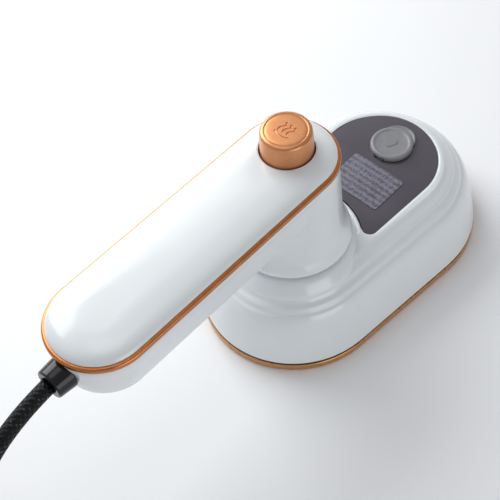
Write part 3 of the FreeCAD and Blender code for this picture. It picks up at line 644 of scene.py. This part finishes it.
# ---- head shell with its neck and the lip round the window

def makeHeadShell():
    shell = {
        "front": (0, 42.8), "rear": (59.7, 47.4),
        "outside": [(0.0, 5.6), (0.03, 5.9), (0.5, 9.5), (1.2, 14.0), (2.1, 19.0), (3.3, 24.2),
                    (5.0, 29.2), (6.5, 31.7), (7.0, 32.3), (8.0, 32.8), (8.3, 33.3),
                    (8.9, 34.6), (9.4, 35.3), (11.0, 36.0), (11.5, 36.6), (12.2, 38.0),
                    (12.8, 38.7), (14.7, 39.7), (15.3, 40.2), (16.1, 41.2), (16.8, 41.7),
                    (18.0, 41.9), (24.6, 41.9), (25.0, 41.8)],
        "inside": [(25.0, 38.2), (24.6, 38.0), (17.6, 38.0), (13.6, 35.0), (8.8, 30.4),
                   (6.9, 27.8), (5.3, 24.0), (4.0, 18.5), (3.1, 13.8), (2.4, 9.5),
                   (2.0, 5.9), (1.9, 5.6)],
        "neck": [(12.5, 38.2), (12.5, 46.4), (12.7, 46.6), (22.2, 46.6), (22.4, 46.55),
                 (22.5, 46.4), (22.6, 46.1), (22.8, 45.7), (23.4, 45.4), (24.4, 45.3),
                 (25.2, 45.25), (26.2, 44.8), (27.0, 44.1), (28.2, 42.6), (29.6, 40.6),
                 (30.6, 38.6), (31.0, 37.0), (26.0, 37.0), (22.6, 42.6), (15.5, 42.6),
                 (15.5, 38.2)],
        "lip": [(0.14, 38.0), (0.14, 38.3), (0.14, 41.2), (0.25, 41.6), (0.55, 41.9),
                (1.0, 42.02), (1.6, 42.0), (2.3, 41.75), (3.2, 41.2), (3.8, 40.4),
                (3.8, 38.3), (3.8, 38.0)],
    }
    piece = sweepHull("headShell", shell["outside"] + shell["inside"], shell["front"],
                      shell["rear"], levels=2)
    boolean(piece, windowBlock("paneSeat", 0.15, 39.8, 60))
    boolean(piece, windowBlock("tankMouth", -1.6, 30, 60))
    collar = turnPiece("neckCollar", shell["neck"], closed=True, steps=48, levels=1)
    boolean(piece, collar, "UNION")
    lip = sweepWindow("windowLip", shell["lip"], levels=1)
    boolean(piece, lip, "UNION")
    return finishPiece(piece, "head", ["head_shell"], whiteGloss, 40)


# ---- smoked pane over the tank

def layHinge(name, x, z, y, halfWidth, radius, bottom):
    # a lug: an upright plate with a round top about the hinge pin
    piece = newChain(name, [(x - radius, y - halfWidth, bottom), (x - radius, y - halfWidth, z)])
    editAll(piece)
    bpy.ops.mesh.select_all(action="DESELECT")
    leaveEdit()
    piece.data.vertices[1].select = True
    bpy.ops.object.mode_set(mode="EDIT")
    steps = 8
    for step in range(steps):
        before, turn = (math.pi * k / steps for k in (step, step + 1))
        bpy.ops.mesh.extrude_vertices_move(TRANSFORM_OT_translate={"value": Vector((
            radius * (math.cos(before) - math.cos(turn)), 0,
            radius * (math.sin(turn) - math.sin(before)))) * mm})
    bpy.ops.mesh.extrude_vertices_move(TRANSFORM_OT_translate={"value": (
        0, 0, (bottom - z) * mm)})
    bpy.ops.mesh.select_all(action="SELECT")
    bpy.ops.mesh.edge_face_add()
    bpy.ops.mesh.extrude_region_move(
        TRANSFORM_OT_translate={"value": (0, 2 * halfWidth * mm, 0)})
    bpy.ops.mesh.select_all(action="SELECT")
    bpy.ops.mesh.normals_make_consistent(inside=False)
    leaveEdit()
    return piece


def makePane():
    pane = {"crownRadius": 312.0, "crown": 42.75, "crownLength": 200, "crownMiddle": 50,
            "fillerX": 70.3, "pinX": 60.8, "pinZ": 43.5}
    piece = windowBlock("smokedPane", -0.1, 39.8, 50)
    deselectAll()
    bpy.ops.mesh.primitive_cylinder_add(
        vertices=512, radius=pane["crownRadius"] * mm, depth=pane["crownLength"] * mm,
        location=(pane["crownMiddle"] * mm, 0, (pane["crown"] - pane["crownRadius"]) * mm),
        rotation=(0, math.radians(90), 0))
    dome = bpy.context.object
    activate(dome)
    bpy.ops.object.transform_apply(location=True, rotation=True, scale=True)
    boolean(piece, dome, "INTERSECT")
    applyModifier(piece, "BEVEL", width=0.55 * mm, segments=4, limit_method="ANGLE",
                  angle_limit=math.radians(50))
    neck = turnPiece("fillerNeck", [(8.3, 40.2), (8.3, 42.85), (8.4, 42.95), (9.2, 42.95),
                                    (9.3, 42.85), (9.3, 40.2)], pane["fillerX"], closed=True,
                     steps=48, levels=0)
    hole = turnPiece("fillerHole", [(0, 30), (8.3, 30), (8.3, 50), (0, 50)], pane["fillerX"],
                     steps=48, levels=0)
    boolean(piece, hole)
    boolean(piece, neck, "UNION")
    for hand in (-1, 1):
        lug = layHinge("hingeLug", pane["pinX"], pane["pinZ"], hand * 2.1, 0.5, 0.75, 40.2)
        boolean(piece, lug, "UNION")
    return finishPiece(piece, "head", ["tank_window"], smokedGloss, 30)


# ---- filler stopper

def makeStopper():
    stopper = {
        "x": 70.3, "tabX": 74.6,
        "disc": [(0, 44.95), (7.2, 44.95), (7.7, 45.02), (8.0, 45.2), (8.3, 45.36), (8.7, 45.4),
                 (9.2, 45.33), (9.65, 45.08), (9.9, 44.7), (10.0, 44.3), (10.0, 43.2),
                 (9.9, 43.05), (7.3, 43.05), (7.2, 42.9), (7.2, 40.1), (6.4, 39.0), (5.4, 39.0),
                 (5.2, 39.2), (5.2, 41.9), (5.0, 42.0), (0, 42.0)],
        "tab": [(0, 44.1), (7.2, 44.1), (7.5, 44.3), (7.8, 44.42), (8.1, 44.38), (8.32, 44.2),
                (8.4, 43.95), (8.4, 43.65), (8.25, 43.4), (8.0, 43.35), (0, 43.35)],
        "drop": [(0.0, 3.4), (0.55, 2.2), (1.35, 0.9), (1.95, -0.4), (2.0, -1.5), (1.5, -2.5),
                 (0.6, -3.05)],
    }
    piece = turnPiece("fillerStopper", stopper["disc"], stopper["x"], steps=64, levels=0)
    tab = turnPiece("stopperTab", stopper["tab"], stopper["tabX"], steps=40, levels=0)
    boolean(piece, tab, "UNION")
    # notches beside the hinge tongue, and the room under it
    for y in (-2.1, 2.1):
        boolean(piece, block("notch", (58.5, y - 0.75, 42.0), (62.0, y + 0.75, 44.5)))
    boolean(piece, block("hingeRoom", (58.5, -12, 41.0), (60.8, 12, 43.5)))
    # a raised drop
    half = [(stopper["x"] - y, x, 44.8) for x, y in stopper["drop"]]
    other = [(x, -y, z) for x, y, z in reversed(half[1:])]
    drop = newChain("dropMark", half + other, closed=True)
    editAll(drop)
    bpy.ops.mesh.edge_face_add()
    bpy.ops.mesh.extrude_region_move(TRANSFORM_OT_translate={"value": (0, 0, 0.38 * mm)})
    bpy.ops.mesh.select_all(action="SELECT")
    bpy.ops.mesh.normals_make_consistent(inside=False)
    leaveEdit()
    boolean(piece, drop, "UNION")
    return finishPiece(piece, "stopper", ["filler_stopper"], stopperGrey, 30)


makeSoleplate()
makeHeadShell()
makePane()
makeStopper()
print("head made")


# ---- handle: lower shell and column, trim, cover, bezel

handleEnds = {"front": (-104.4, 22.0), "rear": (0.0, 22.0)}


def sweepHandle(name, profile, closed=True, steps=12, levels=2, fill=False):
    return sweepHull(name, profile, handleEnds["front"], handleEnds["rear"], closed, steps,
                     levels, fill)


def makeLowerShell():
    shell = {
        "grip": [(3.6, 94.3), (0.9, 94.3), (0.8, 94.1), (1.1, 91.0), (1.5, 88.0), (2.3, 82.0),
                 (2.95, 77.2), (3.3, 75.9), (4.2, 74.85), (5.8, 74.05), (7.8, 73.65),
                 (9.5, 73.6), (14.0, 73.6)],
        "column": [(0, 47.5), (24.2, 47.5), (25.1, 47.6), (25.9, 48.0), (26.5, 48.7),
                   (26.7, 49.5), (26.5, 50.6), (25.7, 52.4), (24.5, 54.6), (23.4, 58.0),
                   (22.8, 63.0), (22.3, 70.0), (21.9, 80.0), (21.2, 94.0), (21.1, 94.3),
                   (0, 94.3)],
        "gripHollow": [(2.8, 96.0), (2.8, 94.3), (3.6, 88.0), (5.2, 77.0), (8.4, 75.6),
                       (14.0, 75.6)],
        "columnHollow": [(0, 50.5), (23.0, 50.5), (21.4, 57.0), (20.8, 63.0), (20.3, 70.0),
                         (19.8, 80.0), (19.2, 96.0), (0, 96.0)],
    }
    piece = sweepHandle("handleLowerShell", shell["grip"], closed=False, levels=0, steps=24,
                        fill=True)
    column = turnPiece("handleColumn", shell["column"], steps=48, levels=1)
    boolean(piece, column, "UNION")
    hollow = sweepHandle("gripHollow", shell["gripHollow"], closed=False, levels=0, steps=24,
                         fill=True)
    well = turnPiece("columnHollow", shell["columnHollow"], steps=48, levels=0)
    boolean(piece, hollow)
    boolean(piece, well)
    spindle = turnPiece("spindleHole", [(0, 45), (10.3, 45), (10.3, 54), (0, 54)], levels=0)
    boolean(piece, spindle)
    gland = turnPiece("glandSeat", [(0, 0), (7.2, 0), (7.2, 12), (0, 12)], levels=0)
    layAlong(gland, -124.1, 86.0)
    boolean(piece, gland)
    for x in (-88.0, -36.0):
        for y in (-11.5, 11.5):
            pocket = turnPiece("screwPocket", [(0, 60), (2.8, 60), (2.8, 77.2), (0, 77.2)],
                               steps=24, levels=0)
            editAll(pocket)
            bpy.ops.transform.translate(value=(x * mm, y * mm, 0))
            leaveEdit()
            boolean(piece, pocket)
    return finishPiece(piece, "handle", ["handle_lower_shell"], whiteGloss, 40)


def makeTrim():
    ring = [(0.8, 94.3), (0.5, 94.45), (0.22, 94.75), (0.05, 95.25), (0.0, 95.8), (0.05, 96.35),
            (0.22, 96.85), (0.5, 97.15), (0.8, 97.3), (1.2, 97.3), (3.2, 97.3), (3.4, 97.2),
            (3.4, 94.4), (3.2, 94.3), (1.2, 94.3)]
    piece = sweepHandle("handleTrim", ring, levels=1, steps=24)
    return finishPiece(piece, "handle", ["handle_trim"], copperTrim)


def makeTopCover():
    cover = {
        "outside": [(4.8, 97.3), (1.7, 97.3), (1.5, 97.45), (1.6, 97.9), (2.0, 98.7),
                    (2.7, 99.5), (3.7, 100.2), (5.4, 100.9), (7.6, 101.4), (10.2, 101.8),
                    (13.0, 102.05), (14.5, 102.12)],
        "hollow": [(4.0, 96.0), (4.0, 98.0), (8.0, 99.4), (13.5, 100.1), (14.5, 100.15)],
        "hole": 12.2,
    }
    piece = sweepHandle("handleTopCover", cover["outside"], closed=False, levels=1, steps=24,
                        fill=True)
    hollow = sweepHandle("coverHollow", cover["hollow"], closed=False, levels=0, steps=24,
                         fill=True)
    boolean(piece, hollow)
    hole = turnPiece("coverHole", [(0, 90), (cover["hole"], 90), (cover["hole"], 110), (0, 110)],
                     steps=64, levels=0)
    boolean(piece, hole)
    return finishPiece(piece, "handle", ["handle_top_cover"], whiteGloss, 30)


def makeBezel():
    ring = [(11.7, 98.1), (11.66, 98.3), (11.66, 101.7), (11.72, 101.95), (11.9, 102.06),
            (12.1, 102.08), (12.2, 102.0), (12.2, 98.3), (12.1, 98.1)]
    piece = turnPiece("buttonBezel", ring, closed=True, steps=48, levels=1)
    return finishPiece(piece, "handle", ["button_bezel"], whiteGloss)


def makeGland():
    gland = {
        "x": -119.0, "z": 86.0,
        "body": [(3.5, 0), (6.0, 0), (6.2, 0.2), (6.2, 1.7), (6.0, 1.9), (5.2, 2.0), (5.2, 5.0),
                 (6.75, 5.1), (6.95, 5.3), (6.95, 5.8), (6.85, 6.8), (6.4, 12.0), (6.35, 12.6),
                 (6.25, 13.1), (6.0, 13.4), (5.5, 13.5), (3.8, 13.5), (3.42, 13.2)],
    }
    piece = turnPiece("cordGland", gland["body"], closed=True, steps=48, levels=1)
    layAlong(piece, gland["x"], gland["z"])
    return finishPiece(piece, "handle", ["cord_gland"], blackGloss)


makeLowerShell()
makeTrim()
makeTopCover()
makeBezel()
makeGland()
print("handle made")


# ---- steam button with its engraved mark

def waveCutter(name, points, radius):
    # a round cutter along a smooth line of points
    curve = bpy.data.curves.new(name, "CURVE")
    curve.dimensions = "3D"
    curve.bevel_depth = radius * mm
    curve.bevel_resolution = 2
    curve.resolution_u = 6
    curve.use_fill_caps = True
    spline = curve.splines.new("NURBS")
    spline.points.add(len(points) - 1)
    for target, point in zip(spline.points, points):
        target.co = (*(Vector(point) * mm), 1)
    spline.order_u = 3
    spline.use_endpoint_u = True
    piece = bpy.data.objects.new(name, curve)
    bpy.context.scene.collection.objects.link(piece)
    activate(piece)
    bpy.ops.object.convert(target="MESH")
    tidyMesh(bpy.context.object)
    return bpy.context.object


def makeButton():
    button = {
        "body": [(0, 112.9), (8.35, 112.9), (8.5, 112.84), (8.55, 112.66), (8.72, 112.6),
                 (8.9, 112.66), (8.95, 112.84), (9.1, 112.9), (9.45, 112.88), (9.95, 112.75),
                 (10.4, 112.4), (10.68, 111.9), (10.78, 111.3), (10.95, 107.0), (11.15, 102.0),
                 (11.36, 97.2), (11.5, 96.7), (12.0, 96.5), (12.2, 96.4), (12.2, 95.2),
                 (12.0, 95.1), (9.6, 95.1), (9.4, 95.3), (9.4, 96.5), (0, 96.5)],
        "markTop": 112.88, "waves": (-2.3, 0.0, 2.3), "waveLength": 5.4, "sway": 0.75,
        "baseX": -3.9, "baseHalf": 3.6,
    }
    piece = turnPiece("steamButton", button["body"], steps=72, levels=1)
    top = button["markTop"]
    for y in button["waves"]:
        points = []
        for step in range(9):
            share = step / 8
            points.append((-2.2 + button["waveLength"] * share,
                           y + button["sway"] * math.sin(2 * math.pi * share), top))
        boolean(piece, waveCutter("steamLine", points, 0.36))
    base = [(button["baseX"] + 0.9 * (step / 3) ** 2, button["baseHalf"] * step / 3, top)
            for step in range(-3, 4)]
    boolean(piece, waveCutter("baseLine", base, 0.36))
    return finishPiece(piece, "button", ["steam_button"], copperButton, 30)


makeButton()
print("button made")


# ---- plug

def makePlug():
    plug = {"low": (-225.0, 23.5, 21.9), "high": (-195.0, 47.5, 39.9), "edge": 5.0,
            "centreY": 35.5, "centreZ": 30.9, "relief": -225.0}
    piece = block("plugBody", plug["low"], plug["high"])
    applyModifier(piece, "BEVEL", width=plug["edge"] * mm, segments=6, limit_method="ANGLE",
                  angle_limit=math.radians(40))
    # grip grooves across both broad faces
    for k in range(4):
        x = -217.0 + 3.2 * k
        for z in (plug["low"][2] - 0.2, plug["high"][2] + 0.2):
            boolean(piece, block("gripGroove", (x - 0.6, 28.0, z - 0.8), (x + 0.6, 43.0, z + 0.8)))
    relief = turnPiece("plugRelief", [(0, -2), (5.6, -2), (5.6, 0.2), (4.8, 0.8), (4.8, 2.0),
                                      (4.35, 2.3), (4.35, 2.9), (4.7, 3.2), (4.6, 4.6),
                                      (4.2, 4.9), (4.2, 5.5), (4.5, 5.8), (4.4, 7.2),
                                      (4.0, 7.5), (4.0, 8.1), (4.25, 8.4), (4.1, 9.7),
                                      (3.8, 10.0), (0, 10.0)], steps=40, levels=0)
    layAlong(relief, plug["relief"], plug["centreZ"])
    editAll(relief)
    bpy.ops.transform.translate(value=(0, plug["centreY"] * mm, 0))
    leaveEdit()
    boolean(piece, relief, "UNION")
    return finishPiece(piece, "handle", ["plug_body"], blackRubber, 30)


plugPiece = makePlug()
print("plug made")


cordPiece.data.materials.append(blackBraid)
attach(cordPiece, "handle")
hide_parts("power_cord", "cord_coil")


# ---- finishes of the CAD nodes, seen and unseen

slotFinish = {
    "copper_sole": copperSole, "heat_black": heatBlack, "white_gloss": whiteGloss,
    "smoked": smokedGloss, "stopper_grey": stopperGrey, "label": frostedFilm,
    "copper_trim": copperTrim, "copper_button": copperButton, "black_gloss": blackGloss,
    "black_braid": blackBraid, "black_rubber": blackRubber, "casting": castMetal,
    "steel": zincSteel, "brass": plainBrass, "ceramic": bareCeramic, "silicone": redSilicone,
    "clear_silicone": clearSilicone, "tank_clear": tankPlastic, "inner_black": innerBlack,
    "inner_white": innerWhite, "lead_brown": leadBrown, "lead_blue": leadBlue,
}
for row in frame["record"]["subparts"]:
    node = nodes[row["node"]]
    node.data.materials.clear()
    node.data.materials.append(slotFinish[row["material_slot"]])
print("finishes given")
